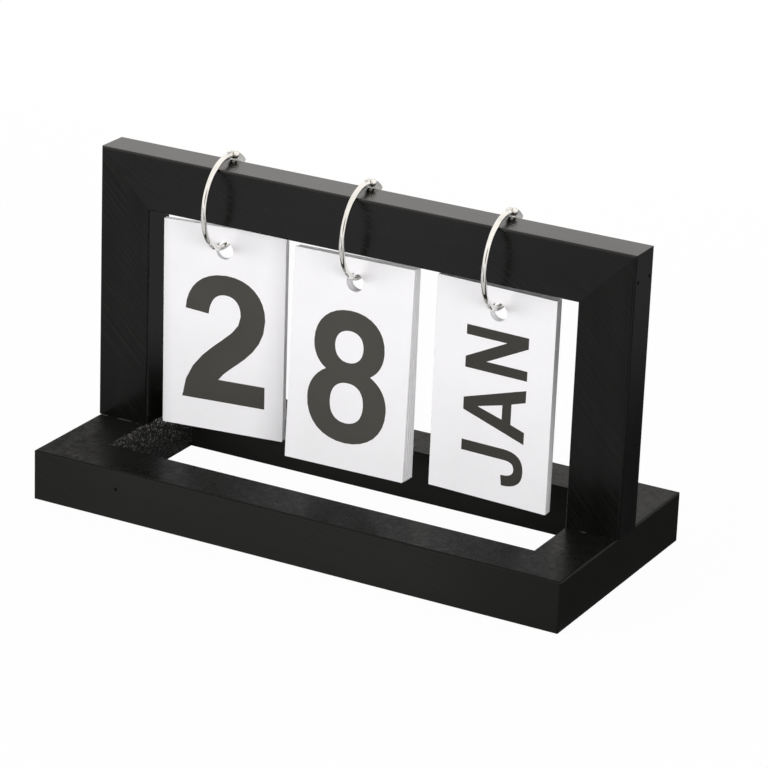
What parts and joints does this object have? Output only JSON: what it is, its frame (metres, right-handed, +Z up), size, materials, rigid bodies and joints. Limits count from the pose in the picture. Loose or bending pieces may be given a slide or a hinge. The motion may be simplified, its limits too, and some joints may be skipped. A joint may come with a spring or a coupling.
{
  "type": "perpetual calendar",
  "caption": "Desk perpetual calendar: a mitred black wooden frame on an open base, with hinged rings round its top rail that carry stacks of day and month cards",
  "frame": {"origin": "middle of the base's underside, on the table", "axes": "X runs along the rail from the tens to the month cards, Y runs from the front to the back, Z is up"},
  "size_m": [0.2, 0.09, 0.119],
  "materials": {
    "black_wood": "satin black paint over sanded wood",
    "zinc_steel": "zinc plated",
    "nickel": "nickel plated wire",
    "white_card": "smooth uncoated card"
  },
  "bodies": {
    "stand": {"base_board": "black_wood", "left_post": "black_wood", "right_post": "black_wood", "top_rail": "black_wood", "corner_brads": "zinc_steel", "post_screws": "zinc_steel"},
    "tens_ring": {"tens_ring_back": "nickel", "tens_ring_rivet": "nickel"},
    "tens_ring_gate": {"tens_ring_front": "nickel"},
    "tens_card_1": {"tens_card_1": "white_card"},
    "tens_card_2": {"tens_card_2": "white_card"},
    "units_ring": {"units_ring_back": "nickel", "units_ring_rivet": "nickel"},
    "units_ring_gate": {"units_ring_front": "nickel"},
    "units_card_1": {"units_card_1": "white_card"},
    "units_card_2": {"units_card_2": "white_card"},
    "units_card_3": {"units_card_3": "white_card"},
    "units_card_4": {"units_card_4": "white_card"},
    "units_card_5": {"units_card_5": "white_card"},
    "month_ring": {"month_ring_back": "nickel", "month_ring_rivet": "nickel"},
    "month_ring_gate": {"month_ring_front": "nickel"},
    "month_card_1": {"month_card_1": "white_card"},
    "month_card_2": {"month_card_2": "white_card"},
    "month_card_3": {"month_card_3": "white_card"},
    "month_card_4": {"month_card_4": "white_card"},
    "month_card_5": {"month_card_5": "white_card"},
    "month_card_6": {"month_card_6": "white_card"}
  },
  "joints": [
    {"name": "tens_ring_turn", "type": "hinge", "parent": "stand", "child": "tens_ring", "pos_m": [-0.0549, 0.0026, 0.10184], "axis": [0.9969, 0.0785, 0], "continuous": true},
    {"name": "tens_ring_open", "type": "hinge", "parent": "tens_ring", "child": "tens_ring_gate", "pos_m": [-0.05533, 0.00811, 0.11701], "axis": [-0.9969, -0.0785, 0], "range_deg": [0, 75]},
    {"name": "tens_card_1_swing", "type": "hinge", "parent": "stand", "child": "tens_card_1", "pos_m": [-0.0549, 0.0026, 0.10184], "axis": [-1, 0, 0], "range_deg": [0, 106]},
    {"name": "tens_card_2_swing", "type": "hinge", "parent": "stand", "child": "tens_card_2", "pos_m": [-0.0549, 0.0026, 0.10184], "axis": [1, 0, 0], "range_deg": [0, 106]},
    {"name": "units_ring_turn", "type": "hinge", "parent": "stand", "child": "units_ring", "pos_m": [-0.0022, 0.0026, 0.10184], "axis": [0.9969, 0.0785, 0], "continuous": true},
    {"name": "units_ring_open", "type": "hinge", "parent": "units_ring", "child": "units_ring_gate", "pos_m": [-0.00263, 0.00811, 0.11701], "axis": [-0.9969, -0.0785, 0], "range_deg": [0, 75]},
    {"name": "units_card_3_swing", "type": "hinge", "parent": "stand", "child": "units_card_3", "pos_m": [-0.0022, 0.0026, 0.10184], "axis": [-1, 0, 0], "range_deg": [0, 30]},
    {"name": "units_card_2_swing", "type": "hinge", "parent": "units_card_3", "child": "units_card_2", "pos_m": [-0.0022, 0.0026, 0.10184], "axis": [-1, 0, 0], "range_deg": [0, 34]},
    {"name": "units_card_1_swing", "type": "hinge", "parent": "units_card_2", "child": "units_card_1", "pos_m": [-0.0022, 0.0026, 0.10184], "axis": [-1, 0, 0], "range_deg": [0, 42]},
    {"name": "units_card_4_swing", "type": "hinge", "parent": "stand", "child": "units_card_4", "pos_m": [-0.0022, 0.0026, 0.10184], "axis": [1, 0, 0], "range_deg": [0, 78]},
    {"name": "units_card_5_swing", "type": "hinge", "parent": "units_card_4", "child": "units_card_5", "pos_m": [-0.0022, 0.0026, 0.10184], "axis": [1, 0, 0], "range_deg": [0, 28]},
    {"name": "month_ring_turn", "type": "hinge", "parent": "stand", "child": "month_ring", "pos_m": [0.05, 0.0026, 0.10184], "axis": [0.9969, 0.0785, 0], "continuous": true},
    {"name": "month_ring_open", "type": "hinge", "parent": "month_ring", "child": "month_ring_gate", "pos_m": [0.04957, 0.00811, 0.11701], "axis": [-0.9969, -0.0785, 0], "range_deg": [0, 75]},
    {"name": "month_card_3_swing", "type": "hinge", "parent": "stand", "child": "month_card_3", "pos_m": [0.05, 0.0026, 0.10184], "axis": [-1, 0, 0], "range_deg": [0, 30]},
    {"name": "month_card_2_swing", "type": "hinge", "parent": "month_card_3", "child": "month_card_2", "pos_m": [0.05, 0.0026, 0.10184], "axis": [-1, 0, 0], "range_deg": [0, 34]},
    {"name": "month_card_1_swing", "type": "hinge", "parent": "month_card_2", "child": "month_card_1", "pos_m": [0.05, 0.0026, 0.10184], "axis": [-1, 0, 0], "range_deg": [0, 42]},
    {"name": "month_card_4_swing", "type": "hinge", "parent": "stand", "child": "month_card_4", "pos_m": [0.05, 0.0026, 0.10184], "axis": [1, 0, 0], "range_deg": [0, 76]},
    {"name": "month_card_5_swing", "type": "hinge", "parent": "month_card_4", "child": "month_card_5", "pos_m": [0.05, 0.0026, 0.10184], "axis": [1, 0, 0], "range_deg": [0, 15]},
    {"name": "month_card_6_swing", "type": "hinge", "parent": "month_card_5", "child": "month_card_6", "pos_m": [0.05, 0.0026, 0.10184], "axis": [1, 0, 0], "range_deg": [0, 15]}
  ]
}
